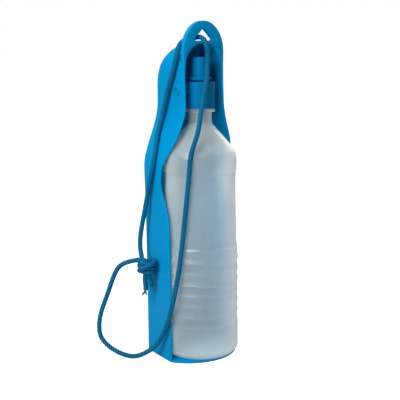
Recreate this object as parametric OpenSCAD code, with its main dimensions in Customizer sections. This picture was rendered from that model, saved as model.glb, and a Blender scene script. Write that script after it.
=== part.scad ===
// Dog travel water bottle: a squeeze bottle that folds into a leaf-shaped drinking trough.
// Z is up, X is to the right, the open side of the trough faces -Y.
// The origin is on the bottle's axis, on the surface that the trough's end wall stands on.

/* [Trough] */
// Height of the trough, from its end wall to the top of the hanging flange
trough_h = 290; // [280:1:300]
// Gap between the bottle and each side wall, before the walls' draft
side_gap = 1.3; // [1.1:0.1:3]
// How much wider the trough swells on each side at shoulder height
trough_swell = 1.2; // [0:0.1:2]
// Half width of the trough's narrow head
head_half_w = 21.2; // [20.6:0.1:23]
// Distance from the bottle's axis to the back of the trough at its lower end
back_y_low = 41.5; // [40:0.5:44]
// Distance from the bottle's axis to the back of the trough at its head
back_y_high = 43.5; // [42:0.5:46]
// Wall thickness of the trough
wall_t = 1.8; // [1.4:0.1:2]
// Thickness of the end wall that the trough stands on
end_wall_t = 1.8; // [1.4:0.1:2]
// Radius of the trough's two rear corners
corner_r = 13; // [9:0.5:15]
// How far the end wall reaches forward of the side walls' rim
end_lip = 20; // [16:0.5:24]
// Depth of the finger recess in the rim at shoulder height
grip_depth = 13; // [6:0.5:15]

/* [Hanging flange] */
// Thickness of the flat flange at the top of the trough
flange_t = 4.4; // [3:0.1:5]
// Height over which the top of the flange is rounded
flange_rise = 25.6; // [21:0.1:28]
// Distance from the top of the flange down to the arched mouth
mouth_drop = 18.6; // [18:0.1:21]
// Half width of the arched mouth
mouth_half_w = 19; // [18.2:0.1:19]
// Half width of the triangular hole's lower edge
hole_half_w = 9.4; // [6:0.1:10]
// Height of the triangular hole
hole_h = 10.4; // [8:0.1:11]
// Web left between the arched mouth and the triangular hole
hole_web = 2.2; // [2:0.1:5]

/* [Pivot] */
// Distance from the top of the flange down to the pivot
pivot_drop = 57; // [55:0.5:59]
// Distance of the pivot behind the bottle's axis
pivot_y = 4; // [3:0.5:5]
// Radius of the cap's two pivot pins
pin_r = 2.4; // [1.8:0.1:2.8]
// Radial clearance of a pin in its hole
pin_gap = 0.1; // [0.05:0.01:0.15]
// Radius of the raised boss round each pin hole
boss_r = 4; // [3.6:0.1:5]
// How far a boss stands out of the wall
boss_h = 1.6; // [1:0.1:2]
// Height of the lug that carries each pin
lug_h = 10; // [7:0.5:11]
// Depth of the lug that carries each pin
lug_d = 7; // [6:0.5:9]

/* [Bottle] */
// Height of the bottle's base ring above the table
bottle_z = 3.2; // [3.2:0.1:3.6]
// Radius of the ribbed lower body, the widest part of the bottle
body_r = 33.2; // [32:0.1:33.3]
// Radius of the smooth upper body where the hand squeezes it
waist_r = 30.6; // [28:0.1:31]
// How much wider the waist is just above the ribs
waist_flare = 1.3; // [0.5:0.1:1.6]
// Radius of the band under the shoulder
band_r = 31.4; // [28:0.1:33]
// Radius that rounds the body into the sloping shoulder
shoulder_r = 12; // [6:0.5:14]
// Radius of the neck
neck_r = 9.95; // [9.4:0.05:10.2]
// Radius of the support ring under the cap
ring_r = 12.8; // [12:0.1:13.2]
// Wall thickness of the squeeze bottle
bottle_t = 1.2; // [0.9:0.1:1.4]
// Distance from the pivot down to the top of the shoulder
shoulder_drop = 28; // [27:0.5:30]
// Number of squeeze ribs
rib_count = 7; // [4:1:7]
// Distance from one squeeze rib to the next
rib_pitch = 9.5; // [8:0.1:9.5]
// Depth of the grooves between the ribs
rib_depth = 0.9; // [0.5:0.1:1.2]

/* [Cap] */
// Radius of the cap
cap_r = 12.6; // [12.4:0.1:13.2]
// How far the cap reaches below the pivot
cap_below = 15.6; // [15:0.1:16]
// How far the cap reaches above the pivot
cap_above = 6.7; // [6:0.1:7.5]
// Thickness of the cap's skirt
cap_t = 1.4; // [1.2:0.1:1.6]
// Thickness of the sealing washer
seal_t = 1.2; // [0.8:0.1:1.6]
// Radius of the hole in the sealing washer
seal_hole_r = 5; // [4:0.1:6]
// How far the neck ends below the pivot, under the sealing washer
neck_end_drop = 2; // [1:0.1:3]

/* [Pull spout] */
// Radius of the pull spout
spout_r = 7.5; // [7:0.1:8]
// Radius of the finger flange at the foot of the pull spout
spout_flange_r = 10; // [9:0.1:10.5]
// Height of the finger flange
spout_flange_h = 2.5; // [2:0.1:3]
// Height of the pull spout
spout_h = 19; // [18:0.1:19.5]
// Gap between the cap's top face and the closed spout
spout_gap = 1.3; // [1:0.1:1.6]
// Travel of the pull spout
spout_travel = 4; // [3:0.1:4.2]
// Radius of the fixed post inside the pull spout
post_r = 5.2; // [4.8:0.1:5.4]
// Running clearance of the sliding parts
slide_gap = 0.1; // [0.06:0.01:0.12]
// Radius of the sealing tip in the outlet
tip_r = 1.6; // [1.2:0.1:2]

/* [Lanyard] */
// Diameter of the braided cord
cord_d = 3.6; // [3:0.1:3.6]
// Diameter of the knot
knot_d = 15; // [13:0.5:16]

/* [Hidden] */
eps = 0.01;
round_fn = 96;

// --- Heights that follow from the top of the trough and its pivot ---
pivot_z = trough_h - pivot_drop;
mouth_top_z = trough_h - mouth_drop;
shoulder_top_z = pivot_z - shoulder_drop;
shoulder_low_z = shoulder_top_z - 25;
band_low_z = shoulder_low_z - 16;
neck_top_z = pivot_z - neck_end_drop;
cap_z = pivot_z - cap_below;
cap_top_z = pivot_z + cap_above;

// --- Outline of the trough: each value is a function of the height z ---
trough_half_w = body_r + side_gap + wall_t;
head_z = pivot_z - 11;
shoulder_z = shoulder_low_z - 14;
dome_z = pivot_z + 2;
arch_z = mouth_top_z - 21.4;
front_y = -30;
side_draft_low = 0.09;
side_draft_high = 0.05;
rim_line = [[0, -6], [shoulder_z - 46, -3.8], [shoulder_z + 19, -5.2], [head_z - 8, -7.2],
    [dome_z + 5, -5.8], [arch_z + 12, -5.4], [trough_h + 10, -5.4]];
rim_face_y = lookup(trough_h, rim_line);
grip_z = shoulder_z - 9;
grip_half_h = 23;

function clamp01(u) = max(0, min(1, u));
function smooth(u) = let (c = clamp01(u)) c * c * (3 - 2 * c);
function mix(a, b, u) = a + (b - a) * u;
function quarter(u) = sqrt(max(0, 1 - pow(clamp01(u), 2)));
function rim_y(z) = lookup(z, rim_line) + grip_depth * exp(-pow(abs(z - grip_z) / grip_half_h, 2.4));
function swell(z) = trough_swell * exp(-pow((z - shoulder_z) / 26, 2));
function head_share(z) = smooth((z - shoulder_z) / (head_z - shoulder_z));

// Inset t is 0 for the outer skin and wall_t for the inner one
function arch_rise(t) = mouth_top_z + wall_t - arch_z - t;
function half_w(z, t) =
    (mix(trough_half_w + swell(z), head_half_w, head_share(z)) - t)
    * quarter((z - arch_z) / arch_rise(t));
function back_y(z, t) =
    (mix(back_y_low, back_y_high, smooth(z / shoulder_z)) - t)
    * quarter((z - dome_z) / (arch_rise(t) + arch_z - dome_z));
function draft(z) = mix(side_draft_low, side_draft_high, head_share(z));
function side_x(z, y, t) = half_w(z, t) - draft(z) * (y - lookup(z, rim_line)) * quarter((z - arch_z) / arch_rise(t));

corner_steps = 7;
function skin_corner(z, t) = min(corner_r - t, 0.6 * half_w(z, t), 0.8 * back_y(z, t) + 0.05);
// Right half of one section, from the open front round the rear corner:
// the outer skin ends at the rim, and the inner one runs out through it
function half_section(z, t, inset) =
    let (y0 = t > 0 ? front_y : rim_y(z))
    let (r = skin_corner(z, t), cy = max(y0 + eps, back_y(z, t) - r), cx = side_x(z, cy, t) - r)
    concat(
        [[side_x(z, y0, t) - inset, y0]],
        [for (i = [0 : corner_steps]) let (a = 90 * i / corner_steps)
            [cx + (r - inset) * cos(a), cy + (r - inset) * sin(a)]]);
function section(z, t, inset = 0) =
    let (half = half_section(z, t, inset), n = len(half))
    concat(
        [for (p = half) [p[0], p[1], z]],
        [for (i = [n - 1 : -1 : 0]) [-half[i][0], half[i][1], z]]);

// A closed solid through a list of rings that all have the same number of points
module loft(rings) {
    n = len(rings[0]);
    m = len(rings);
    side_faces = [for (j = [0 : m - 2], i = [0 : n - 1])
        let (a = j * n + i, b = j * n + (i + 1) % n)
        each [[a, a + n, b], [b, a + n, b + n]]];
    ends = [[for (i = [0 : n - 1]) i], [for (i = [n - 1 : -1 : 0]) (m - 1) * n + i]];
    polyhedron(points = [for (r = rings, p = r) p], faces = concat(side_faces, ends), convexity = 8);
}

edge_r = 1.2;
grip_low_z = grip_z - 39;
lower_rings = 6;
grip_rings = 27;
dome_rings = 12;
function body_heights(from_z, top_z) = concat(
    [for (i = [0 : lower_rings - 1]) mix(from_z, grip_low_z, i / lower_rings)],
    [for (i = [0 : grip_rings - 1]) mix(grip_low_z, dome_z, i / grip_rings)],
    [for (i = [0 : dome_rings]) dome_z + (top_z - dome_z) * sin(89 * i / dome_rings)]);

module outer_skin() {
    heights = body_heights(edge_r, arch_z + arch_rise(0));
    loft(concat([section(0, 0, edge_r)], [for (z = heights) section(z, 0)]));
}

module inner_skin() {
    loft([for (z = body_heights(end_wall_t, arch_z + arch_rise(wall_t))) section(z, wall_t)]);
}

// End wall under the bottle, whose lip is one arc from side to side
lip_steps = 14;
module end_plate() {
    arc_r = (pow(trough_half_w, 2) + pow(end_lip, 2)) / (2 * end_lip);
    arc_half = asin(trough_half_w / arc_r);
    arc_y = rim_y(0) - end_lip + arc_r;
    linear_extrude(end_wall_t)
        polygon(concat(
            [[trough_half_w - edge_r, 0], [-trough_half_w + edge_r, 0]],
            [for (i = [-lip_steps : lip_steps]) let (a = arc_half * i / lip_steps)
                [arc_r * sin(a), arc_y - arc_r * cos(a)]]));
}

// Flat arched flange in the plane of the rim
flange_low_z = arch_z - 12;
arch_steps = 24;
module flange_outline() {
    side_z = trough_h - flange_rise;
    polygon(concat(
        [[head_half_w, flange_low_z], [head_half_w, side_z]],
        [for (i = [1 : arch_steps - 1]) let (a = 180 * i / arch_steps)
            [head_half_w * cos(a), side_z + flange_rise * sin(a)]],
        [[-head_half_w, side_z], [-head_half_w, flange_low_z]]));
}

// The mouth is a little fuller than an ellipse
mouth_power = 2 / 2.3;
function full(c) = sign(c) * pow(abs(c), mouth_power);
module mouth_outline() {
    rise = mouth_top_z - arch_z;
    polygon(concat(
        [[-mouth_half_w, flange_low_z - 5], [mouth_half_w, flange_low_z - 5]],
        [for (i = [0 : arch_steps]) let (a = 180 * i / arch_steps)
            [mouth_half_w * full(cos(a)), arch_z + rise * full(sin(a))]]));
}

hole_low_z = mouth_top_z + hole_web;
hole_round = 1;
module hole_outline() {
    inner_half_w = hole_half_w - hole_round;
    inner_low_z = hole_low_z + hole_round;
    inner_top_z = hole_low_z + hole_h - hole_round;
    hull() {
        for (p = [[-inner_half_w, inner_low_z], [inner_half_w, inner_low_z], [0, inner_top_z]])
            translate(p)
                circle(hole_round, $fn = 16);
    }
}

// Stands a front-view outline up as a plate with its front face at y_front
module stand_up(y_front, t) {
    translate([0, y_front + t, 0])
        rotate([90, 0, 0])
        linear_extrude(t)
        children();
}

module x_rod(r, from_x, to_x) {
    translate([from_x, pivot_y, pivot_z])
        rotate([0, 90, 0])
        cylinder(r = r, h = to_x - from_x, $fn = round_fn);
}

wall_at_pivot_x = side_x(pivot_z, pivot_y, 0);
boss_face_x = wall_at_pivot_x + boss_h;
boss_root = 1;
cut_past = 1;

module trough() {
    color("DeepSkyBlue")
    difference() {
        union() {
            outer_skin();
            end_plate();
            stand_up(rim_face_y, flange_t)
                flange_outline();
            x_rod(boss_r, -boss_face_x, boss_root - wall_at_pivot_x);
            x_rod(boss_r, wall_at_pivot_x - boss_root, boss_face_x);
        }
        inner_skin();
        stand_up(rim_face_y - cut_past, flange_t + 2 * cut_past)
            mouth_outline();
        stand_up(rim_face_y - cut_past, flange_t + 2 * cut_past)
            hole_outline();
        x_rod(pin_r + pin_gap, -boss_face_x - cut_past, boss_face_x + cut_past);
    }
}

// --- Bottle ---
rib_low_z = 35;
rib_top_z = rib_low_z + rib_pitch * (rib_count - 1);
base_r = 7;
ring_low_z = cap_z - 3.2;
ring_top_z = cap_z - 0.5;
finish_r = neck_r + 0.35;
bore_r = neck_r - 1.5;
base_dome = 4;
base_ring_r = 23;
base_dish_r = 14;

// Radius of the bottle's outside between the base and the shoulder
function rib_wave(z) = (1 - cos(360 * (z - rib_low_z) / rib_pitch)) / 2;
function rib_radius(z) = body_r - rib_depth * rib_wave(z);
function body_radius(z) =
    z < band_low_z - 3 ? mix(waist_r + waist_flare, waist_r, smooth((z - rib_top_z) / 60))
    : mix(waist_r, band_r, smooth((z - band_low_z + 3) / 3));

wall_steps = 8;
shoulder_steps = 5;
shoulder_turn = 41;
shoulder_start = 4;
function outside_profile() = concat(
    [for (i = [0 : wall_steps]) let (a = 90 * i / wall_steps)
        [body_r + 0.1 - base_r + base_r * sin(a), bottle_z + base_r - base_r * cos(a)]],
    [[body_r + 0.1, rib_low_z - rib_pitch / 2 - 1.5]],
    [for (i = [0 : 8 * rib_count]) let (z = rib_low_z + rib_pitch * (i / 8 - 0.5)) [rib_radius(z), z]],
    [for (z = [rib_top_z + rib_pitch / 2 + 2 : 9 : band_low_z - 4]) [body_radius(z), z]],
    [for (z = [band_low_z - 3 : 1 : band_low_z]) [body_radius(z), z]],
    [for (i = [0 : shoulder_steps]) let (a = shoulder_turn * i / shoulder_steps)
        [band_r - shoulder_r * (1 - cos(a)), shoulder_low_z - shoulder_start + shoulder_r * sin(a)]],
    [[neck_r + 1.6, shoulder_top_z - 2], [neck_r + 0.4, shoulder_top_z - 0.6], [neck_r, shoulder_top_z + 1]]);

module bottle() {
    outside = outside_profile();
    n = len(outside);
    inside = [for (i = [n - 1 : -1 : 0]) let (p = outside[i])
        [max(bore_r, p[0] - bottle_t), max(p[1] - 0.4, bottle_z + base_dome)]];
    color([0.80, 0.86, 0.90, 0.6])
    rotate_extrude($fn = round_fn)
        polygon(concat(
            [[0, bottle_z + base_dome - bottle_t], [base_dish_r, bottle_z + 2], [base_ring_r, bottle_z + 0.3]],
            outside,
            [[neck_r, ring_low_z], [ring_r, ring_low_z + 0.6], [ring_r, ring_top_z], [finish_r, ring_top_z]],
            [[finish_r, neck_top_z], [bore_r, neck_top_z]],
            [[bore_r, shoulder_top_z]],
            [for (p = inside) if (p[1] < shoulder_top_z - 1 && p[1] > bottle_z + base_dome + 0.1) p],
            [[body_r - base_r, bottle_z + base_dome - 1.5], [0, bottle_z + base_dome]]));
}

// --- Cap with its lugs, pins and spout post ---
deck_z = neck_top_z + seal_t;
spout_z = cap_top_z + spout_gap;
spout_top_z = spout_z + spout_h;
lug_gap = 0.7;
lug_root = 3;
lug_lift = 1;
pin_recess = 0.6;
lug_end_x = wall_at_pivot_x - wall_t - lug_gap;
pin_end_x = boss_face_x - pin_recess;
skirt_r = cap_r - cap_t;
post_t = 1.6;
post_bore_r = post_r - post_t;
post_foot = 1.2;
bead_catch = 0.7;
chamber_r = post_r + bead_catch;
bead_r = chamber_r - slide_gap - 0.05;
outlet_len = 4.1;
tip_recess = 0.6;
port_r = 0.7;
port_at = (tip_r + post_bore_r) / 2 + 0.1;
chamber_roof_z = spout_top_z - outlet_len;
post_top_z = chamber_roof_z - spout_travel;
bead_h = 1.6;
chamber_floor_z = post_top_z - bead_h - spout_travel - 0.4;
cap_bevel = 0.6;

module cap_lug(side) {
    root_x = cap_r - lug_root;
    x0 = side > 0 ? root_x : -lug_end_x;
    translate([x0, pivot_y - lug_d / 2, pivot_z - lug_h / 2 + lug_lift])
        cube([lug_end_x - root_x, lug_d, lug_h]);
    x_rod(pin_r, side > 0 ? root_x : -pin_end_x, side > 0 ? pin_end_x : -root_x);
}

module cap() {
    color("SteelBlue")
    difference() {
        union() {
            rotate_extrude($fn = round_fn)
                polygon([[0, cap_z], [cap_r, cap_z], [cap_r, cap_top_z - cap_bevel],
                    [cap_r - cap_bevel, cap_top_z], [0, cap_top_z]]);
            for (side = [-1, 1])
                cap_lug(side);
            // Post that the pull spout slides on, with its stop bead and sealing tip
            cylinder(r = post_r + post_foot, h = spout_z - slide_gap, $fn = round_fn);
            cylinder(r = post_r, h = post_top_z, $fn = round_fn);
            translate([0, 0, post_top_z - bead_h])
                cylinder(r = bead_r, h = bead_h, $fn = round_fn);
            cylinder(r = tip_r, h = spout_top_z - tip_recess, $fn = round_fn);
        }
        cylinder(r = skirt_r, h = deck_z, $fn = round_fn);
        translate([0, 0, deck_z - cut_past])
            cylinder(r = post_bore_r, h = post_top_z - post_t - deck_z + cut_past, $fn = round_fn);
        for (a = [45 : 90 : 315])
            rotate(a)
                translate([port_at, 0, post_top_z - post_t - cut_past])
                cylinder(r = port_r, h = post_t + 2 * cut_past, $fn = 24);
    }
}

module cap_seal() {
    color("WhiteSmoke")
    translate([0, 0, neck_top_z])
        difference() {
            cylinder(r = skirt_r - slide_gap, h = seal_t, $fn = round_fn);
            translate([0, 0, -cut_past])
                cylinder(r = seal_hole_r, h = seal_t + 2 * cut_past, $fn = round_fn);
        }
}

module pull_spout() {
    bore = post_r + slide_gap;
    bevel = 0.6;
    color("SteelBlue")
    rotate_extrude($fn = round_fn)
        polygon([
            [bore, spout_z], [spout_flange_r - 0.3, spout_z], [spout_flange_r, spout_z + 0.3],
            [spout_flange_r, spout_z + spout_flange_h - 0.4], [spout_flange_r - 0.4, spout_z + spout_flange_h],
            [spout_r, spout_z + spout_flange_h], [spout_r, spout_top_z - bevel], [spout_r - bevel, spout_top_z],
            [tip_r + slide_gap, spout_top_z], [tip_r + slide_gap, chamber_roof_z],
            [chamber_r, chamber_roof_z], [chamber_r, chamber_floor_z], [bore, chamber_floor_z]]);
}

// --- Lanyard ---
// Route of the cord from the knot, up the left wall, through the hole and down over the bottle
cord_route = [
    [-44.6, 24.5, 88.4], [-44, 28, 98], [-42.6, 28.4, 111], [-39.8, 25.6, 132], [-38.4, 21.4, 152],
    [-38.2, 17, 166], [-35.8, 16.6, 178.5], [-31.9, 19, 188.5], [-27.8, 21.4, 199], [-24, 19.8, 215],
    [-23.6, 14, 232], [-23.5, 7.7, 245.6], [-23.1, 2.7, 259], [-21.1, 1.8, 268], [-17.8, 1.7, 272.2],
    [-12.2, 3.2, 274.3], [-6.5, 1.4, 275.7], [-3.1, -3.8, 276.5], [-2, -8.7, 273.8], [-1.3, -11.2, 267.2],
    [-0.2, -10.5, 259.9], [-3.2, -13.3, 244.4], [-9, -17, 230], [-16, -21.5, 214.5], [-21, -24, 200],
    [-26.4, -21.4, 180], [-27.4, -19.8, 160], [-31, -15.8, 108], [-34, -14.3, 82], [-37.6, -11.6, 57.5],
    [-39.4, -5.6, 37], [-41.4, 2.8, 20], [-46, 11, 9], [-56, 22.5, 2.1], [-68, 33.5, 7],
    [-76.5, 42, 18.5], [-76.6, 43.8, 35], [-70.5, 40.8, 56], [-62, 34.5, 81], [-49.2, 23, 88]];
knot_at = [-43.6, 18.8, 82.3];
tail_routes = [
    [[-44.5, 19.6, 76.5], [-45, 19.8, 70], [-44.4, 19.6, 63], [-44.8, 19.6, 57]],
    [[-43, 18, 76.5], [-42, 16.6, 70], [-40.6, 15.6, 64.5], [-40.6, 15, 59.5]]];
cord_sides = 8;
ring_gap = 9;

function catmull(p0, p1, p2, p3, u) =
    0.5 * (2 * p1 + (p2 - p0) * u + (2 * p0 - 5 * p1 + 4 * p2 - p3) * u * u
        + (3 * p1 - p0 - 3 * p2 + p3) * u * u * u);
function at_point(route, i) = route[max(0, min(len(route) - 1, i))];
function spline(route, gap) = concat(
    [for (i = [0 : len(route) - 2])
        let (steps = max(1, round(norm(route[i + 1] - route[i]) / gap)))
        for (s = [0 : steps - 1])
            catmull(at_point(route, i - 1), route[i], route[i + 1], at_point(route, i + 2), s / steps)],
    [route[len(route) - 1]]);
function unit(v) = v / norm(v);
function across(v, t) = unit(v - (v * t) * t);
// Frame carried along the points without twist
function tangents(pts) = [for (i = [0 : len(pts) - 1])
    unit(at_point(pts, i + 1) - at_point(pts, i - 1))];
function carried(ts, i, v) = i == len(ts) ? [] : let (w = across(v, ts[i])) concat([w], carried(ts, i + 1, w));

module cord_tube(route, d, gap) {
    pts = spline(route, gap);
    ts = tangents(pts);
    sides = carried(ts, 0, [0.3, 1, 0.2]);
    loft([for (i = [0 : len(pts) - 1])
        [for (k = [0 : cord_sides - 1]) let (a = 360 * k / cord_sides)
            pts[i] + d / 2 * (cos(a) * sides[i] + sin(a) * cross(ts[i], sides[i]))]]);
}

module lanyard() {
    color("Teal")
    cord_tube(cord_route, cord_d, ring_gap);
}

module lanyard_knot() {
    color("Teal") {
        hull() {
            translate(knot_at + [1.5, -1, 0.5])
                sphere(d = knot_d - 2, $fn = 20);
            translate(knot_at + [-1.5, 1, -0.5])
                sphere(d = knot_d - 2, $fn = 20);
        }
        for (route = tail_routes)
            cord_tube(route, cord_d, ring_gap);
    }
}

trough();
cap();
cap_seal();
pull_spout();
bottle();
lanyard();
lanyard_knot();
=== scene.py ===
import bpy
import bmesh
import math
from mathutils import Matrix, Vector


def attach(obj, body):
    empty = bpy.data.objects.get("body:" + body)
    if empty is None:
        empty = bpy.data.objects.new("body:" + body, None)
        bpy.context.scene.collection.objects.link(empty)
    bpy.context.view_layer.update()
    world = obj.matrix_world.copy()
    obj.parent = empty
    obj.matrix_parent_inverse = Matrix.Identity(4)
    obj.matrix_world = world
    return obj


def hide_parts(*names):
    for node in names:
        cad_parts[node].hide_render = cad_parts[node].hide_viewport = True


# Dog travel water bottle: blue trough, milky squeeze bottle, cap with pull spout, braided lanyard.
# Sizes are in millimetres in the dictionaries, and turn into metres where a mesh is made.

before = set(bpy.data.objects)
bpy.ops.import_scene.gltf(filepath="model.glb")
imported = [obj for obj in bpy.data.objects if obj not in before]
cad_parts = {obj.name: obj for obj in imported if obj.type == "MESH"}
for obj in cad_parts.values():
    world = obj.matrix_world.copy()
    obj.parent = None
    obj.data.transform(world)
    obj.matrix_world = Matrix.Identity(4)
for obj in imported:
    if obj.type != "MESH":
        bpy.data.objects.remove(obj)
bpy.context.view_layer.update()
scene = bpy.context.scene
metre = 0.001


# Small helpers

def clamp01(u):
    return max(0.0, min(1.0, u))


def smooth(u):
    u = clamp01(u)
    return u * u * (3 - 2 * u)


def mix(a, b, u):
    return a + (b - a) * u


def lookUp(z, table):
    if z <= table[0][0]:
        return table[0][1]
    for (z0, v0), (z1, v1) in zip(table, table[1:]):
        if z <= z1:
            return mix(v0, v1, (z - z0) / (z1 - z0))
    return table[-1][1]


def meshPiece(name, points, faces, smoothShade=True):
    mesh = bpy.data.meshes.new(name)
    mesh.from_pydata([Vector(p) * metre for p in points], [], faces)
    mesh.validate()
    mesh.polygons.foreach_set("use_smooth", [smoothShade] * len(mesh.polygons))
    piece = bpy.data.objects.new(name, mesh)
    scene.collection.objects.link(piece)
    return piece


def curvePiece(name, points):
    curve = bpy.data.curves.new(name, "CURVE")
    curve.dimensions = "3D"
    spline = curve.splines.new("POLY")
    spline.points.add(len(points) - 1)
    for target, p in zip(spline.points, points):
        target.co = (*(Vector(p) * metre), 1)
    piece = bpy.data.objects.new(name, curve)
    scene.collection.objects.link(piece)
    return piece


def bakeMesh(piece):
    # evaluated shape as a plain mesh, with the modifiers gone
    name = piece.name
    graph = bpy.context.evaluated_depsgraph_get()
    mesh = bpy.data.meshes.new_from_object(piece.evaluated_get(graph))
    bpy.data.objects.remove(piece)
    result = bpy.data.objects.new(name, mesh)
    scene.collection.objects.link(result)
    result.name = mesh.name = name
    return result


def joinPieces(name, pieces):
    whole = bmesh.new()
    for piece in pieces:
        whole.from_mesh(piece.data)
    mesh = bpy.data.meshes.new(name)
    whole.to_mesh(mesh)
    whole.free()
    result = bpy.data.objects.new(name, mesh)
    scene.collection.objects.link(result)
    for piece in pieces:
        bpy.data.objects.remove(piece)
    return result


def cutOrUnite(target, tool, operation):
    step = target.modifiers.new("step", "BOOLEAN")
    step.operation = operation
    step.solver = "EXACT"
    step.object = tool
    result = bakeMesh(target)
    bpy.data.objects.remove(tool)
    return result


def shadeByAngle(piece, degrees=35):
    # smooth faces, with an edge kept sharp where the surface turns by more than the angle
    mesh = piece.data
    mesh.polygons.foreach_set("use_smooth", [True] * len(mesh.polygons))
    shape = bmesh.new()
    shape.from_mesh(mesh)
    for edge in shape.edges:
        edge.smooth = len(edge.link_faces) == 2 and edge.calc_face_angle(0) < math.radians(degrees)
    shape.to_mesh(mesh)
    shape.free()


def faceOutwards(piece):
    shape = bmesh.new()
    shape.from_mesh(piece.data)
    bmesh.ops.remove_doubles(shape, verts=shape.verts, dist=1e-6)
    bmesh.ops.recalc_face_normals(shape, faces=shape.faces)
    shape.to_mesh(piece.data)
    shape.free()


def handOver(piece, body, slotName, material, *nodes):
    piece.data.materials.clear()
    piece.data.materials.append(material)
    if nodes:
        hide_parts(*nodes)
    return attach(piece, body)


# Node helpers

def addNode(tree, kind, inputs=None, **settings):
    # an input is either a socket to link or a value to set
    made = tree.nodes.new(kind)
    for key, value in settings.items():
        setattr(made, key, value)
    for key, value in (inputs or {}).items():
        if isinstance(value, bpy.types.NodeSocket):
            tree.links.new(value, made.inputs[key])
        else:
            made.inputs[key].default_value = value
    return made


class NodeTree:
    # thin wrapper that adds nodes, sets their inputs and links them
    def __init__(self, name, kind="GeometryNodeTree"):
        self.tree = bpy.data.node_groups.new(name, kind)
        self.sockets = {}

    def socket(self, name, kind, value=None, out=False):
        item = self.tree.interface.new_socket(
            name, in_out="OUTPUT" if out else "INPUT", socket_type="NodeSocket" + kind)
        if value is not None:
            item.default_value = value
        self.sockets[name] = item.identifier
        return item

    def node(self, kind, inputs=None, **settings):
        return addNode(self.tree, kind, inputs, **settings)

    def math(self, operation, a, b=0.0, c=0.0):
        return self.node("ShaderNodeMath", {0: a, 1: b, 2: c}, operation=operation).outputs[0]

    def scaled(self, vector, factor):
        return self.node("ShaderNodeVectorMath", {0: vector, "Scale": factor}, operation="SCALE").outputs[0]

    def xyz(self, x=0.0, y=0.0, z=0.0):
        return self.node("ShaderNodeCombineXYZ", {0: x, 1: y, 2: z}).outputs[0]


def runTree(piece, nodes, values):
    # puts the tree on the piece, sets its inputs by identifier and turns the result into a mesh
    modifier = piece.modifiers.new("build", "NODES")
    modifier.node_group = nodes.tree
    for key, value in values.items():
        modifier[nodes.sockets[key]] = value
    return bakeMesh(piece)


# Camera: from the left front and a little above

view = {
    "place": (-467.5, -598.4, 280.4), "tilt": 79.37, "turn": -38.0,
    "lens": 80.42, "sensor": 36.0,
}


def addCamera():
    lens = bpy.data.cameras.new("camera")
    lens.lens = view["lens"]
    lens.sensor_width = view["sensor"]
    lens.clip_start = 0.01
    camera = bpy.data.objects.new("camera", lens)
    camera.location = Vector(view["place"]) * metre
    camera.rotation_euler = (math.radians(view["tilt"]), 0, math.radians(view["turn"]))
    scene.collection.objects.link(camera)
    scene.camera = camera


addCamera()
print("camera placed")


# Surface effects shared by the materials

def surfaceGroup():
    # moulded plastic: slow colour drift, fine grain in the gloss, and a very shallow moulded texture
    g = NodeTree("moulded surface", "ShaderNodeTree")
    g.socket("Color", "Color", (0.5, 0.5, 0.5, 1))
    g.socket("Drift", "Float", 0.06)
    g.socket("Drift Scale", "Float", 18.0)
    g.socket("Gloss", "Float", 0.35)
    g.socket("Gloss Change", "Float", 0.08)
    g.socket("Grain Scale", "Float", 900.0)
    g.socket("Grain Height", "Float", 0.02)
    g.socket("Color", "Color", out=True)
    g.socket("Roughness", "Float", out=True)
    g.socket("Normal", "Vector", out=True)
    put = g.node("NodeGroupInput").outputs
    place = g.node("ShaderNodeTexCoord").outputs["Object"]
    slow = g.node("ShaderNodeTexNoise", {"Vector": place, "Scale": put["Drift Scale"], "Detail": 3.0})
    fine = g.node("ShaderNodeTexNoise", {"Vector": place, "Scale": put["Grain Scale"], "Detail": 2.0})
    centred = g.math("SUBTRACT", slow.outputs[0], 0.5)
    bright = g.math("MULTIPLY_ADD", centred, put["Drift"], 1.0)
    drifted = g.scaled(put["Color"], bright)
    rough = g.math("MULTIPLY_ADD", centred, put["Gloss Change"], put["Gloss"])
    bump = g.node("ShaderNodeBump", {"Height": fine.outputs[0], "Strength": put["Grain Height"],
                                     "Distance": 0.0005})
    ends = g.node("NodeGroupOutput")
    g.tree.links.new(drifted, ends.inputs["Color"])
    g.tree.links.new(rough, ends.inputs["Roughness"])
    g.tree.links.new(bump.outputs[0], ends.inputs["Normal"])
    return g


mouldedSurface = surfaceGroup()


class Finish:
    # a material with one Principled BSDF, whose constant values sit on its own sockets
    def __init__(self, name, **constants):
        self.material = bpy.data.materials.new(name)
        self.material.use_nodes = True
        self.tree = self.material.node_tree
        self.shader = self.tree.nodes["Principled BSDF"]
        for key, value in constants.items():
            self.shader.inputs[key].default_value = value

    def node(self, kind, inputs=None, **settings):
        return addNode(self.tree, kind, inputs, **settings)

    def moulded(self, **values):
        group = self.node("ShaderNodeGroup", node_tree=mouldedSurface.tree)
        for key, value in values.items():
            group.inputs[key].default_value = value
        for key, target in (("Color", "Base Color"), ("Roughness", "Roughness"), ("Normal", "Normal")):
            self.tree.links.new(group.outputs[key], self.shader.inputs[target])
        return group


# Materials

def troughPlastic():
    finish = Finish("trough plastic", **{"IOR": 1.2, "Specular IOR Level": 0.15})
    finish.moulded(**{"Color": (0.0, 0.29, 0.62, 1), "Gloss": 0.36, "Drift": 0.05})
    return finish.material


def capPlastic():
    finish = Finish("cap plastic", **{"IOR": 1.2, "Specular IOR Level": 0.15})
    # darker than the trough's blue: the lower value is painted shade for the dimmer light on the cap and the
    # spout under the arch
    finish.moulded(**{"Color": (0.0, 0.185, 0.43, 1), "Gloss": 0.36, "Drift": 0.05})
    return finish.material


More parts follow.
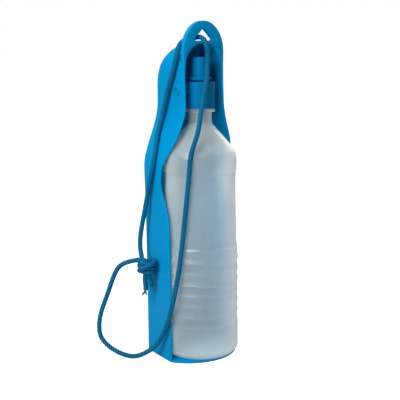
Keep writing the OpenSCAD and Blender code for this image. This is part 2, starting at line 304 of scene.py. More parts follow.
def bottlePlastic():
    # milky wall: part of the light goes straight on, so that the trough behind it is lit as well
    finish = Finish("bottle plastic", **{"IOR": 1.46, "Specular IOR Level": 0.4})
    edge = finish.node("ShaderNodeLayerWeight", {"Blend": 0.5})
    see = finish.node("ShaderNodeMapRange", {
        "Value": edge.outputs["Facing"], "From Min": 0.1, "From Max": 0.9, "To Min": 0.92, "To Max": 0.5})
    finish.tree.links.new(see.outputs[0], finish.shader.inputs["Transmission Weight"])
    finish.moulded(**{"Color": (0.88, 0.95, 0.94, 1), "Gloss": 0.34, "Drift": 0.03,
                      "Drift Scale": 40.0, "Gloss Change": 0.1})
    path = finish.node("ShaderNodeLightPath")
    share = finish.node("ShaderNodeMath", {0: path.outputs["Is Shadow Ray"], 1: 0.75}, operation="MULTIPLY")
    clear = finish.node("ShaderNodeBsdfTransparent", {"Color": (0.92, 0.96, 1.0, 1)})
    both = finish.node("ShaderNodeMixShader", {0: share.outputs[0]})
    finish.tree.links.new(finish.shader.outputs[0], both.inputs[1])
    finish.tree.links.new(clear.outputs[0], both.inputs[2])
    finish.tree.links.new(both.outputs[0], finish.tree.nodes["Material Output"].inputs["Surface"])
    return finish.material


def sealFoam():
    finish = Finish("seal foam", **{"Specular IOR Level": 0.3})
    finish.moulded(**{"Color": (0.75, 0.75, 0.72, 1), "Gloss": 0.7, "Grain Height": 0.2})
    return finish.material


def cordFibre():
    # the braid's relief is in the mesh; colour follows how high a strand stands: painted shade in the low
    # parts between strands, painted highlight on their crests
    finish = Finish("cord fibre", **{"Roughness": 0.5, "Sheen Weight": 0.02, "Sheen Roughness": 0.4,
                                     "Specular IOR Level": 0.1})
    crest = finish.node("ShaderNodeAttribute", attribute_name="crest")
    place = finish.node("ShaderNodeTexCoord")
    fibre = finish.node("ShaderNodeTexNoise", {"Vector": place.outputs["Object"], "Scale": 2500.0,
                                               "Detail": 2.0})
    # fine fibre noise spreads the painted crest shade and highlight at random
    shadeJitter = finish.node("ShaderNodeMath", {0: fibre.outputs[0], 1: 0.5, 2: 0.75}, operation="MULTIPLY_ADD")
    crestShade = finish.node("ShaderNodeMath", {0: crest.outputs["Fac"], 1: shadeJitter.outputs[0]},
                        operation="MULTIPLY")
    ramp = finish.node("ShaderNodeValToRGB", {"Fac": crestShade.outputs[0]})
    # low colour is painted shade between the strands, high colour is painted highlight on the crests
    low, high = ramp.color_ramp.elements
    low.position, low.color = 0.42, (0.0, 0.032, 0.115, 1)
    high.position, high.color = 0.95, (0.0, 0.33, 0.59, 1)
    finish.tree.links.new(ramp.outputs[0], finish.shader.inputs["Base Color"])
    bump = finish.node("ShaderNodeBump", {"Height": fibre.outputs[0], "Strength": 0.35,
                                          "Distance": 0.0004})
    finish.tree.links.new(bump.outputs[0], finish.shader.inputs["Normal"])
    return finish.material


troughBlue, capBlue, milkyPlastic = troughPlastic(), capPlastic(), bottlePlastic()
washerWhite, cordBlue = sealFoam(), cordFibre()
print("materials ready")


# Lathe tree: turns a profile in the XZ plane about Z, with optional ribs and mould seams

def latheTree():
    g = NodeTree("lathe")
    g.socket("Geometry", "Geometry")
    g.socket("Segments", "Int", 192)
    g.socket("Rib Count", "Int", 0)
    g.socket("First Rib", "Float", 0.0)
    g.socket("Rib Pitch", "Float", 0.01)
    g.socket("Rib Depth", "Float", 0.0)
    g.socket("Seam Height", "Float", 0.0)
    g.socket("Unevenness", "Float", 0.0)
    g.socket("Material", "Material")
    g.socket("Geometry", "Geometry", out=True)
    put = g.node("NodeGroupInput").outputs
    points = g.node("GeometryNodeCurveToPoints", {"Curve": put["Geometry"]}, mode="EVALUATED").outputs[0]
    size = g.node("GeometryNodeAttributeDomainSize", {0: points}, component="POINTCLOUD")
    count = size.outputs["Point Count"]
    grid = g.node("GeometryNodeMeshGrid", {"Vertices X": put["Segments"], "Vertices Y": count}).outputs[0]
    index = g.node("GeometryNodeInputIndex").outputs[0]
    row = g.math("MODULO", index, count)
    column = g.math("FLOOR", g.math("DIVIDE", index, count))
    sample = g.node("GeometryNodeSampleIndex", {
        "Geometry": points, "Index": row, "Value": g.node("GeometryNodeInputPosition").outputs[0]},
        data_type="FLOAT_VECTOR", domain="POINT")
    place = g.node("ShaderNodeSeparateXYZ", {0: sample.outputs[0]}).outputs
    # grooves between the crests of the first and the last rib
    steps = g.math("DIVIDE", g.math("SUBTRACT", place["Z"], put["First Rib"]), put["Rib Pitch"])
    inside = g.math("MULTIPLY", g.math("GREATER_THAN", steps, 0.0),
                    g.math("LESS_THAN", steps, g.math("SUBTRACT", put["Rib Count"], 1.0)))
    between = g.math("ABSOLUTE", g.math("SINE", g.math("MULTIPLY", steps, math.pi)))
    groove = g.math("MULTIPLY", g.math("POWER", between, 0.8), g.math("MULTIPLY", inside, put["Rib Depth"]))
    turned = g.math("DIVIDE", column, g.math("SUBTRACT", put["Segments"], 1.0))
    angle = g.math("MULTIPLY", turned, 2 * math.pi)
    # two parting lines of the mould, at the left and right
    seam = g.math("POWER", g.math("ABSOLUTE", g.math("COSINE", angle)), 9000.0)
    outside = g.math("MULTIPLY", seam, put["Seam Height"])
    # the blown wall is a little uneven
    round3 = g.xyz(g.math("COSINE", angle), g.math("SINE", angle), g.math("MULTIPLY", place["Z"], 90.0))
    dent = g.node("ShaderNodeTexNoise", {"Vector": round3, "Scale": 2.2, "Detail": 2.0}).outputs[0]
    share = g.math("MULTIPLY", g.math("SUBTRACT", dent, 0.5), put["Unevenness"])
    outside = g.math("MULTIPLY_ADD", place["X"], share, outside)
    radius = g.math("ADD", g.math("SUBTRACT", place["X"], groove), outside)
    swept = g.xyz(g.math("MULTIPLY", radius, g.math("COSINE", angle)),
                  g.math("MULTIPLY", radius, g.math("SINE", angle)), place["Z"])
    shape = g.node("GeometryNodeSetPosition", {"Geometry": grid, "Position": swept}).outputs[0]
    closed = g.node("GeometryNodeMergeByDistance", {"Geometry": shape, "Distance": 0.000005}).outputs[0]
    soft = g.node("GeometryNodeSetShadeSmooth", {"Geometry": closed}).outputs[0]
    real = g.node("GeometryNodeRealizeInstances", {"Geometry": soft}).outputs[0]
    coated = g.node("GeometryNodeSetMaterial", {"Geometry": real, "Material": put["Material"]}).outputs[0]
    g.tree.links.new(coated, g.node("NodeGroupOutput").inputs["Geometry"])
    return g


lathe = latheTree()


def roundedProfile(corners, steps=5):
    # corners are (radius, height, rounding); each rounded corner becomes a short quadratic curve
    points = []
    for i, (r, z, size) in enumerate(corners):
        here = Vector((r, 0, z))
        if size == 0 or i in (0, len(corners) - 1):
            points.append(here)
            continue
        before, after = (Vector((c[0], 0, c[1])) for c in (corners[i - 1], corners[i + 1]))
        a = here + (before - here).normalized() * min(size, (before - here).length / 2)
        b = here + (after - here).normalized() * min(size, (after - here).length / 2)
        for k in range(steps + 1):
            u = k / steps
            points.append(a * (1 - u) ** 2 + here * 2 * u * (1 - u) + b * u ** 2)
    return points


def turnedPiece(name, profile, material, segments=97, **values):
    piece = curvePiece(name, profile)
    made = runTree(piece, lathe, {"Segments": segments, "Material": material, **values})
    faceOutwards(made)
    return made


# Bottle: milky blow moulding with ribs, waist, shoulder, neck and support ring

bottle = {
    "base": 3.2, "baseRounding": 7.0, "wall": 1.2,
    "bodyRadius": 33.5, "ribCount": 7, "firstRib": 31.7, "ribPitch": 9.42, "ribDepth": 0.9,
    "stepAt": 98.9, "stepHeight": 3.0, "stepRadius": 32.6,
    "waistRadius": 30.6, "waistFlare": 1.15, "flareHeight": 58.0, "bandLow": 164.0, "bandRadius": 31.4,
    "shoulderLow": 176.0, "shoulderRounding": 12.0, "shoulderTurn": 41.0, "shoulderTop": 205.0,
    "neckRadius": 9.95, "neckWall": 1.5, "neckTop": 231.0,
    "ringRadius": 12.8, "ringThickness": 2.6, "ringTop": 216.9,
    "seam": 0.10, "unevenness": 0.02, "segments": 257,
}


def bottleRadius(z):
    # outside radius between the base rounding and the shoulder, grooves left out
    b = bottle
    lastRib = b["firstRib"] + b["ribPitch"] * (b["ribCount"] - 1)
    if z <= lastRib:
        return b["bodyRadius"]
    above = z - b["stepAt"]
    waist = b["waistRadius"] + b["waistFlare"] * (1 - smooth(above / b["flareHeight"]))
    waist = mix(b["stepRadius"], waist, smooth(above / b["stepHeight"]))
    waist = mix(b["bodyRadius"], waist, smooth(2 * (z - lastRib) / b["ribPitch"]))
    return mix(waist, b["bandRadius"], smooth((z - b["bandLow"] + 2) / 3))


def bottleProfile():
    b = bottle
    base, r, e = b["base"], b["bodyRadius"] + 0.1, b["baseRounding"]
    neck, top, bore = b["neckRadius"], b["shoulderTop"], b["neckRadius"] - b["neckWall"]
    foot = [(0, base + 2.8), (14, base + 1.8), (r - e - 3, base + 0.25)]
    curve = [(r - e + e * math.sin(a), base + e - e * math.cos(a))
             for a in (math.radians(90 * k / 14) for k in range(15))]
    rows = []
    z = base + e + 1.5
    while z < b["shoulderLow"]:
        rows.append((bottleRadius(z), z))
        z += 0.5
    size = b["shoulderRounding"]
    bend = [(b["bandRadius"] - size * (1 - math.cos(a)), b["shoulderLow"] + size * math.sin(a))
            for a in (math.radians(b["shoulderTurn"] * k / 10) for k in range(11))]
    last = bend[-1]
    slope = [(mix(last[0], neck + 1.6, u), mix(last[1], top - 2, u)) for u in (k / 12 for k in range(1, 13))]
    throat = [(neck + 0.5, top - 0.7), (neck + 0.1, top + 0.5), (neck, top + 2)]
    outside = foot + curve + rows + bend + slope + throat
    out, high = b["ringRadius"], b["ringTop"]
    low = high - b["ringThickness"]
    ring = [(neck, low - 0.4), (neck + 0.3, low), (out - 0.4, low + 0.1), (out, low + 0.5),
            (out, high - 0.4), (out - 0.4, high), (neck + 0.35, high)]
    mouth = b["neckTop"]
    finish = [(neck + 0.35, mouth - 0.3), (neck + 0.05, mouth), (bore + 0.3, mouth), (bore, mouth - 0.3)]
    inside = [(max(bore, p[0] - b["wall"]), max(p[1] - 0.3, base + 4)) for p in reversed(outside)
              if base + 4.3 < p[1] < top + 1]
    floor = [(b["bodyRadius"] - e, base + 2.6), (14, base + 3.2), (0, base + 4)]
    return [Vector((x, 0, z)) for x, z in outside + ring + finish + inside + floor]


def addBottle():
    b = bottle
    made = turnedPiece("squeezeBottle", bottleProfile(), milkyPlastic, segments=b["segments"], **{
        "Rib Count": b["ribCount"], "First Rib": b["firstRib"] * metre,
        "Rib Pitch": b["ribPitch"] * metre, "Rib Depth": b["ribDepth"] * metre,
        "Seam Height": b["seam"] * metre, "Unevenness": b["unevenness"]})
    shadeByAngle(made, 40)
    return handOver(made, "bottle_body", "bottle_plastic", milkyPlastic, "bottle")


addBottle()
print("bottle turned")


# Trough: one moulding with an open front, an end wall, an arched flange and two bosses

trough = {
    "height": 290.0, "halfWidth": 36.3, "swell": 1.2, "swellReach": 26.0, "headHalfWidth": 21.2,
    "backLow": 41.5, "backHigh": 43.5, "wall": 1.8, "endWall": 1.8, "wallStart": 0.9, "corner": 13.0,
    "lip": 20.0, "lipInset": 0.2, "draftLow": 0.09, "draftHigh": 0.05,
    "shoulderAt": 166.0, "headAt": 222.0, "domeAt": 235.0, "archAt": 250.0, "mouthTop": 271.4,
    "gripAt": 157.0, "gripReach": 23.0, "gripDepth": 13.0, "gripPower": 2.4,
    "rim": [(0, -6), (120, -3.8), (185, -5.2), (214, -7.2), (240, -5.8), (262, -5.4), (300, -5.4)],
    "rings": 150, "domeRings": 26,
}
flange = {
    "front": -5.4, "thickness": 4.4, "low": 238.0, "mouthHalfWidth": 19.0, "edge": 0.5,
    "holeHalfWidth": 9.4, "holeLow": 273.6, "holeHeight": 10.4, "holeCorner": 1.0,
    "rise": 25.6, "fullness": 2 / 2.3,
}
pivot = {"y": 4.0, "z": 233.0, "bossRadius": 4.0, "bossOut": 1.6, "holeRadius": 2.5, "pinRadius": 2.4}


def rimDepth(z):
    t = trough
    dip = math.exp(-abs((z - t["gripAt"]) / t["gripReach"]) ** t["gripPower"])
    return lookUp(z, t["rim"]) + t["gripDepth"] * dip


def quarter(u):
    return math.sqrt(max(0.0, 1 - clamp01(u) ** 2))


def headShare(z):
    return smooth((z - trough["shoulderAt"]) / (trough["headAt"] - trough["shoulderAt"]))


def archRise(inset):
    return trough["mouthTop"] + trough["wall"] - trough["archAt"] - inset


def halfWidth(z, inset):
    t = trough
    swell = t["swell"] * math.exp(-((z - t["shoulderAt"]) / t["swellReach"]) ** 2)
    width = mix(t["halfWidth"] + swell, t["headHalfWidth"], headShare(z)) - inset
    return width * quarter((z - t["archAt"]) / archRise(inset))


def backDepth(z, inset):
    t = trough
    depth = mix(t["backLow"], t["backHigh"], smooth(z / t["shoulderAt"])) - inset
    return depth * quarter((z - t["domeAt"]) / (archRise(inset) + t["archAt"] - t["domeAt"]))


def sideAt(z, y, inset):
    t = trough
    draft = mix(t["draftLow"], t["draftHigh"], headShare(z))
    lean = draft * (y - lookUp(z, t["rim"])) * quarter((z - t["archAt"]) / archRise(inset))
    return halfWidth(z, inset) - lean


def halfSection(z, inset):
    # right half of the wall's outline at height z: side wall, rounded rear corner, back
    front = rimDepth(z) + trough["wall"] / 2
    back = backDepth(z, inset)
    r = min(trough["corner"] - inset, 0.6 * halfWidth(z, inset), 0.8 * back + 0.05)
    cy = max(front + 0.01, back - r)
    cx = sideAt(z, cy, inset) - r
    side = [(mix(sideAt(z, front, inset), cx + r, u), mix(front, cy, u))
            for u in (k / 9 for k in range(9))]
    corner = [(cx + r * math.cos(a), cy + r * math.sin(a))
              for a in (math.radians(90 * k / 14) for k in range(15))]
    rear = [(cx * (1 - u), cy + r) for u in (k / 4 for k in range(1, 4))]
    return side + corner + rear


def fullSection(z, inset):
    half = halfSection(z, inset)
    middle = (0.0, half[-1][1])
    return half + [middle] + [(-x, y) for x, y in reversed(half)]


def wallRing(zOut, zIn):
    # closed loop round the wall: outer skin, round left rim, inner skin, round right rim
    outer = [(x, y, zOut) for x, y in fullSection(zOut, 0.0)]
    inner = [(x, y, zIn) for x, y in reversed(fullSection(zIn, trough["wall"]))]

    def rim(a, b):
        mid = [(a[i] + b[i]) / 2 for i in range(3)]
        half = (b[0] - a[0]) / 2
        return [(mid[0] - half * math.cos(s), mid[1] - abs(half) * math.sin(s), mid[2])
                for s in (math.pi * k / 7 for k in range(1, 7))]

    return outer + rim(outer[-1], inner[0]) + inner + rim(inner[-1], outer[0])


def addWalls():
    t = trough
    heights = []
    for k in range(t["rings"] + 1):
        z = mix(t["wallStart"], t["archAt"], k / t["rings"])
        heights.append((z, z))
    for k in range(1, t["domeRings"] + 1):
        s = math.sin(math.radians(89.0 * k / t["domeRings"]))
        heights.append((t["archAt"] + archRise(0) * s, t["archAt"] + archRise(t["wall"]) * s))
    rings = [wallRing(a, b) for a, b in heights]
    n = len(rings[0])
    points = [p for ring in rings for p in ring]
    faces = [(j * n + i, j * n + (i + 1) % n, (j + 1) * n + (i + 1) % n, (j + 1) * n + i)
             for j in range(len(rings) - 1) for i in range(n)]
    faces.append(tuple(range(n)))
    faces.append(tuple((len(rings) - 1) * n + i for i in reversed(range(n))))
    walls = meshPiece("walls", points, faces)
    faceOutwards(walls)
    return walls


def plateFromOutlines(name, outlines, thickness, edge):
    # flat plate with rounded edges, standing on Z = 0; the first outline is its rim, the rest are holes
    curve = bpy.data.curves.new(name, "CURVE")
    curve.dimensions = "2D"
    curve.fill_mode = "BOTH"
    curve.extrude = (thickness / 2 - edge) * metre
    curve.bevel_depth = edge * metre
    curve.bevel_resolution = 3
    curve.offset = -edge * metre
    for outline in outlines:
        spline = curve.splines.new("POLY")
        spline.points.add(len(outline) - 1)
        for target, (x, y) in zip(spline.points, outline):
            target.co = (x * metre, y * metre, 0, 1)
        spline.use_cyclic_u = True
    piece = bpy.data.objects.new(name, curve)
    scene.collection.objects.link(piece)
    made = bakeMesh(piece)
    made.data.transform(Matrix.Translation((0, 0, thickness / 2 * metre)))
    faceOutwards(made)
    return made


def arcPoints(cx, cy, rx, ry, fromAngle, toAngle, steps):
    return [(cx + rx * math.cos(a), cy + ry * math.sin(a))
            for a in (math.radians(mix(fromAngle, toAngle, k / steps)) for k in range(steps + 1))]


def addFlange():
    t, f = trough, flange
    r = t["headHalfWidth"]
    spring = t["height"] - f["rise"]
    rim = [(r, f["low"])] + arcPoints(0, spring, r, f["rise"], 0, 180, 72) + [(-r, f["low"])]
    arch = [(math.copysign(abs(x) ** f["fullness"], x) * f["mouthHalfWidth"],
             t["archAt"] + abs(z) ** f["fullness"] * (t["mouthTop"] - t["archAt"]))
            for x, z in arcPoints(0, 0, 1, 1, 180, 0, 60)]
    mouth = [(-f["mouthHalfWidth"], f["low"]), *arch, (f["mouthHalfWidth"], f["low"])]
    outline = rim + mouth
    c = f["holeCorner"]
    low, high = f["holeLow"] + c, f["holeLow"] + f["holeHeight"] - c
    wide = f["holeHalfWidth"] - c
    side = math.degrees(math.atan2(wide, high - low))
    hole = (arcPoints(wide, low, c, c, -90, side, 5) + arcPoints(0, high, c, c, side, 180 - side, 5)
            + arcPoints(-wide, low, c, c, 180 - side, 270, 5))
    plate = plateFromOutlines("flange", [outline, hole], f["thickness"], f["edge"])
    plate.data.transform(Matrix.Translation((0, (f["front"] + f["thickness"]) * metre, 0))
                         @ Matrix.Rotation(math.radians(90), 4, "X"))
    # the two feet of the flange run out into the side walls
    for v in plate.data.vertices:
        x, y, z = (c / metre for c in v.co)
        u = smooth((t["archAt"] - 1 - z) / (t["archAt"] - 1 - f["low"]))
        if u > 0:
            side = math.copysign(1, x)
            inner = t["headHalfWidth"] - t["wall"] / 2
            share = (t["headHalfWidth"] - abs(x)) / (t["headHalfWidth"] - f["mouthHalfWidth"])
            x = side * mix(abs(x), t["headHalfWidth"] - 0.15 - share * (t["headHalfWidth"] - inner), u)
            y = mix(y, mix(f["front"] + 0.6, f["front"] + 1.8, (y - f["front"]) / f["thickness"]), u)
            v.co = Vector((x, y, z)) * metre
    return plate


def addEndWall():
    t = trough
    behind = fullSection(t["wallStart"], 0.05)
    rim = rimDepth(0)
    half = t["halfWidth"] - t["lipInset"]
    radius = (half ** 2 + t["lip"] ** 2) / (2 * t["lip"])
    reach = math.degrees(math.asin(half / radius))
    lip = arcPoints(0, rim - t["lip"] + radius, radius, radius, 270 - reach, 270 + reach, 72)
    outline = [(-half, rim + 1)] + lip + [(half, rim + 1)] + behind
    return plateFromOutlines("endWall", [outline], t["endWall"], 0.55)


def addBosses():
    made = []
    for side in (-1, 1):
        root = sideAt(pivot["z"], pivot["y"], 0) - 1.0
        face = root + 1.0 + pivot["bossOut"]
        r = pivot["bossRadius"]
        profile = roundedProfile([(0, root, 0), (r + 0.7, root, 0), (r + 0.5, root + 1.2, 0.3),
                                  (r, root + 1.9, 0.4), (r - 0.1, face, 0.5), (0, face, 0)], 4)
        boss = turnedPiece("boss", profile, troughBlue, segments=49)
        boss.data.transform(Matrix.Translation((0, pivot["y"] * metre, pivot["z"] * metre))
                            @ Matrix.Rotation(math.radians(90 * side), 4, "Y"))
        made.append(boss)
    return made


def addTrough():
    body = addWalls()
    for part in (addEndWall(), addFlange(), *addBosses()):
        body = cutOrUnite(body, part, "UNION")
    drill = turnedPiece("drill", [Vector((0, 0, -30)), Vector((pivot["holeRadius"], 0, -30)),
                                  Vector((pivot["holeRadius"], 0, 30)), Vector((0, 0, 30))],
                        troughBlue, segments=49)
    drill.data.transform(Matrix.Translation((0, pivot["y"] * metre, pivot["z"] * metre))
                         @ Matrix.Rotation(math.radians(90), 4, "Y"))
    body = cutOrUnite(body, drill, "DIFFERENCE")
    body.name = body.data.name = "troughBowl"
    shadeByAngle(body, 38)
    return handOver(body, "trough_body", "trough_plastic", troughBlue, "trough")


addTrough()
print("trough moulded")


# Cap, washer and pull spout

cap = {
    "radius": 12.6, "low": 217.4, "top": 239.7, "skirt": 1.4, "bevel": 0.7, "lugHeight": 10.0,
    "lugDepth": 7.0, "lugLift": 1.0, "lugEnd": 18.65, "pinEnd": 21.7, "deck": 232.2,
    "postLow": 233.5, "postCollar": 1.2, "collarTop": 240.9, "postRadius": 5.2, "beadLow": 250.1,
    "postTop": 252.0, "beadRadius": 5.75, "tipRadius": 1.6, "tipTop": 259.4,
}
spout = {
    "radius": 7.5, "flangeRadius": 10.0, "flangeHeight": 2.5, "low": 241.0, "top": 260.0,
    "bore": 5.3, "chamberRadius": 5.9, "chamberRoof": 255.9, "chamberFloor": 245.9,
    "outletRadius": 1.7, "bevel": 0.7,
}


def addCap():
    c = cap
    shell = roundedProfile([
        (0, c["top"], 0), (c["radius"] - 0.15, c["top"], c["bevel"]), (c["radius"], c["low"], 0.4),
        (c["radius"] - c["skirt"], c["low"], 0.3), (c["radius"] - c["skirt"], c["deck"], 0),
        (0, c["deck"], 0)], 5)
    body = turnedPiece("capShell", list(reversed(shell)), capBlue, segments=129)
    collar = c["postRadius"] + c["postCollar"]
    post = turnedPiece("post", roundedProfile([
        (0, c["postLow"], 0), (collar, c["postLow"], 0), (collar, c["collarTop"], 0.2),
        (c["postRadius"], c["collarTop"], 0.2), (c["postRadius"], c["beadLow"], 0),
        (c["beadRadius"], c["beadLow"] + 0.5, 0.2),
        (c["beadRadius"], c["postTop"] - 0.3, 0.3), (c["postRadius"] - 0.4, c["postTop"], 0.2),
        (c["tipRadius"], c["postTop"], 0.2), (c["tipRadius"], c["tipTop"], 0.4),
        (0, c["tipTop"], 0)], 4), capBlue, segments=65)
    body = cutOrUnite(body, post, "UNION")
    for side in (-1, 1):
        lug = bmesh.new()
        bmesh.ops.create_cube(lug, size=metre)
        length = c["lugEnd"] - c["radius"] + 3
        bmesh.ops.scale(lug, vec=(length, c["lugDepth"], c["lugHeight"]), verts=lug.verts)
        bmesh.ops.translate(lug, verts=lug.verts, vec=Vector((
            side * (c["lugEnd"] - length / 2), pivot["y"], pivot["z"] + c["lugLift"])) * metre)
        bmesh.ops.bevel(lug, geom=lug.edges[:], offset=0.6 * metre, segments=3, affect="EDGES", profile=0.5)
        mesh = bpy.data.meshes.new("lug")
        lug.to_mesh(mesh)
        lug.free()
        block = bpy.data.objects.new("lug", mesh)
        scene.collection.objects.link(block)
        body = cutOrUnite(body, block, "UNION")
        pin = turnedPiece("pin", roundedProfile([
            (0, c["radius"] - 1, 0), (pivot["pinRadius"], c["radius"] - 1, 0),
            (pivot["pinRadius"], c["pinEnd"], 0.8), (0, c["pinEnd"], 0)], 5), capBlue, segments=49)
        pin.data.transform(Matrix.Translation((0, pivot["y"] * metre, pivot["z"] * metre))
                           @ Matrix.Rotation(math.radians(90 * side), 4, "Y"))
        body = cutOrUnite(body, pin, "UNION")
    body.name = body.data.name = "screwCap"
    shadeByAngle(body, 38)
    return handOver(body, "cap_body", "cap_plastic", capBlue, "cap")


def addSpout():
    s = spout
    ledge = s["low"] + s["flangeHeight"]
    profile = roundedProfile([
        (s["bore"], s["low"], 0), (s["flangeRadius"], s["low"], 0.5),
        (s["flangeRadius"], ledge, 0.6), (s["radius"], ledge, 0.4),
        (s["radius"] - 0.1, s["top"], s["bevel"]), (s["outletRadius"], s["top"], 0.3),
        (s["outletRadius"], s["chamberRoof"], 0), (s["chamberRadius"], s["chamberRoof"], 0),
        (s["chamberRadius"], s["chamberFloor"], 0), (s["bore"], s["chamberFloor"], 0),
        (s["bore"], s["low"], 0)], 5)
    made = turnedPiece("pullSpout", profile, capBlue, segments=97)
    shadeByAngle(made, 38)
    return handOver(made, "spout_body", "cap_plastic", capBlue, "pull_spout")


def paintWasher():
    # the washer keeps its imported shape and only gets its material
    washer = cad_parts["cap_seal"].data
    washer.materials.clear()
    washer.materials.append(washerWhite)


addCap()
addSpout()
paintWasher()
print("cap and spout turned")


# Lanyard: braided cord along its route, tied in an overhand knot with two frayed tails

lanyard = {
    "diameter": 3.6, "strands": 4, "pick": 2.3, "relief": 0.4, "sides": 32, "step": 0.4,
    "route": [
        (-44.6, 24.5, 88.4), (-44, 28, 98), (-42.6, 28.4, 111), (-39.8, 25.6, 132), (-38.4, 21.4, 152),
        (-38.2, 17, 166), (-35.8, 16.6, 178.5), (-31.9, 19, 188.5), (-27.8, 21.4, 199), (-24, 19.8, 215),
        (-23.6, 14, 232), (-23.5, 7.7, 245.6), (-23.1, 2.7, 259), (-21.1, 1.8, 268), (-17.8, 1.7, 272.2),
        (-12.2, 3.2, 274.3), (-6.5, 1.4, 275.7), (-3.1, -3.8, 276.5), (-2, -8.7, 273.8), (-1.3, -11.2, 267.2),
        (-0.2, -10.5, 259.9), (-3.2, -13.3, 244.4), (-9, -17, 230), (-16, -21.5, 214.5), (-21, -24, 200),
        (-26.4, -21.4, 180), (-27.4, -19.8, 160), (-31, -15.8, 108), (-34, -14.3, 82), (-37.6, -11.6, 57.5),
        (-39.4, -5.6, 37), (-41.4, 2.8, 20), (-46, 11, 9), (-56, 22.5, 2.1), (-68, 33.5, 7),
        (-76.5, 42, 18.5), (-76.6, 43.8, 35), (-70.5, 40.8, 56), (-62, 34.5, 81), (-49.2, 23, 88)],
}
knot = {
    "place": (-43.6, 18.8, 82.3), "across": 6.4, "deep": 4.6, "pitch": 3.7, "turns": 2.4, "tilt": -0.28,
    "tails": [
        [(-44.5, 19.6, 76.5), (-45, 19.8, 70), (-44.4, 19.6, 64), (-44.8, 19.6, 61)],
        [(-43, 18, 76.5), (-42.2, 16.8, 71), (-41.2, 15.9, 66.5)]],
    "fray": {"count": 34, "length": 5.0, "spread": 0.35, "bundle": 1.3, "thickness": 0.13, "seed": 5},
}


def smoothRoute(points, gap):
    # Catmull-Rom curve through the points, with a point about every gap
    result = []
    for i in range(len(points) - 1):
        p0, p1, p2, p3 = (Vector(points[max(0, min(len(points) - 1, k))]) for k in range(i - 1, i + 3))
        steps = max(1, round((p2 - p1).length / gap))
        for s in range(steps):
            u = s / steps
            result.append(0.5 * (2 * p1 + (p2 - p0) * u + (2 * p0 - 5 * p1 + 4 * p2 - p3) * u ** 2
                                 + (3 * p1 - p0 - 3 * p2 + p3) * u ** 3))
    return result + [Vector(points[-1])]


def braidTree():
    g = NodeTree("braid")
    g.socket("Geometry", "Geometry")
    g.socket("Diameter", "Float", 0.0036)
    g.socket("Strands", "Int", 8)
    g.socket("Pick", "Float", 0.0018)
    g.socket("Relief", "Float", 0.0003)
    g.socket("Sides", "Int", 32)
    g.socket("Step", "Float", 0.0004)
    g.socket("Material", "Material")
    g.socket("Geometry", "Geometry", out=True)
    put = g.node("NodeGroupInput").outputs
    rail = g.node("GeometryNodeResampleCurve", {"Curve": put["Geometry"], "Length": put["Step"]},
                  mode="LENGTH").outputs[0]
    length = g.node("GeometryNodeSplineParameter").outputs["Length"]
    rail = g.node("GeometryNodeStoreNamedAttribute", {
        "Geometry": rail, "Name": "along", "Value": length}, data_type="FLOAT", domain="POINT").outputs[0]
    # the strands stand out from a core of the cord's own diameter
    radius = g.math("MULTIPLY", put["Diameter"], 0.5)
    ring = g.node("GeometryNodeCurvePrimitiveCircle", {
        "Resolution": put["Sides"], "Radius": radius}).outputs[0]
    share = g.math("DIVIDE", g.node("GeometryNodeInputIndex").outputs[0], put["Sides"])
    ring = g.node("GeometryNodeStoreNamedAttribute", {
        "Geometry": ring, "Name": "around", "Value": share}, data_type="FLOAT", domain="POINT").outputs[0]
    tube = g.node("GeometryNodeCurveToMesh", {
        "Curve": rail, "Profile Curve": ring, "Fill Caps": True}).outputs[0]

    def named(name):
        stored = g.node("GeometryNodeInputNamedAttribute", {"Name": name}, data_type="FLOAT")
        return stored.outputs["Attribute"]

    turn = g.math("MULTIPLY", named("around"), put["Strands"])
    run = g.math("DIVIDE", named("along"), put["Pick"])
    left, right = g.math("ADD", turn, run), g.math("SUBTRACT", turn, run)
    # over and under: the cells of the crossing lattice take turns
    cell = g.math("ADD", g.math("FLOOR", left), g.math("FLOOR", right))
    over = g.math("FLOORED_MODULO", cell, 2.0)
    lobes = [g.math("SINE", g.math("MULTIPLY", g.math("FRACT", side), math.pi)) for side in (left, right)]
    strands = []
    for wide, long in (lobes, reversed(lobes)):
        strands.append(g.math("MULTIPLY", g.math("POWER", wide, 0.7), g.math("MULTIPLY_ADD", long, 0.5, 0.5)))
    first, second = strands
    height = g.math("ADD", g.math("MULTIPLY", first, over),
                    g.math("MULTIPLY", second, g.math("SUBTRACT", 1.0, over)))
    # strand height: it lifts the strands, and the cord material turns it into painted shade between strands
    # and painted highlight on crests
    tube = g.node("GeometryNodeStoreNamedAttribute", {
        "Geometry": tube, "Name": "crest", "Value": height}, data_type="FLOAT", domain="POINT").outputs[0]
    lift = g.scaled(g.node("GeometryNodeInputNormal").outputs[0],
                    g.math("MULTIPLY", named("crest"), put["Relief"]))
    shaped = g.node("GeometryNodeSetPosition", {"Geometry": tube, "Offset": lift}).outputs[0]
    soft = g.node("GeometryNodeSetShadeSmooth", {"Geometry": shaped}).outputs[0]
    real = g.node("GeometryNodeRealizeInstances", {"Geometry": soft}).outputs[0]
    coated = g.node("GeometryNodeSetMaterial", {"Geometry": real, "Material": put["Material"]}).outputs[0]
    g.tree.links.new(coated, g.node("NodeGroupOutput").inputs["Geometry"])
    return g


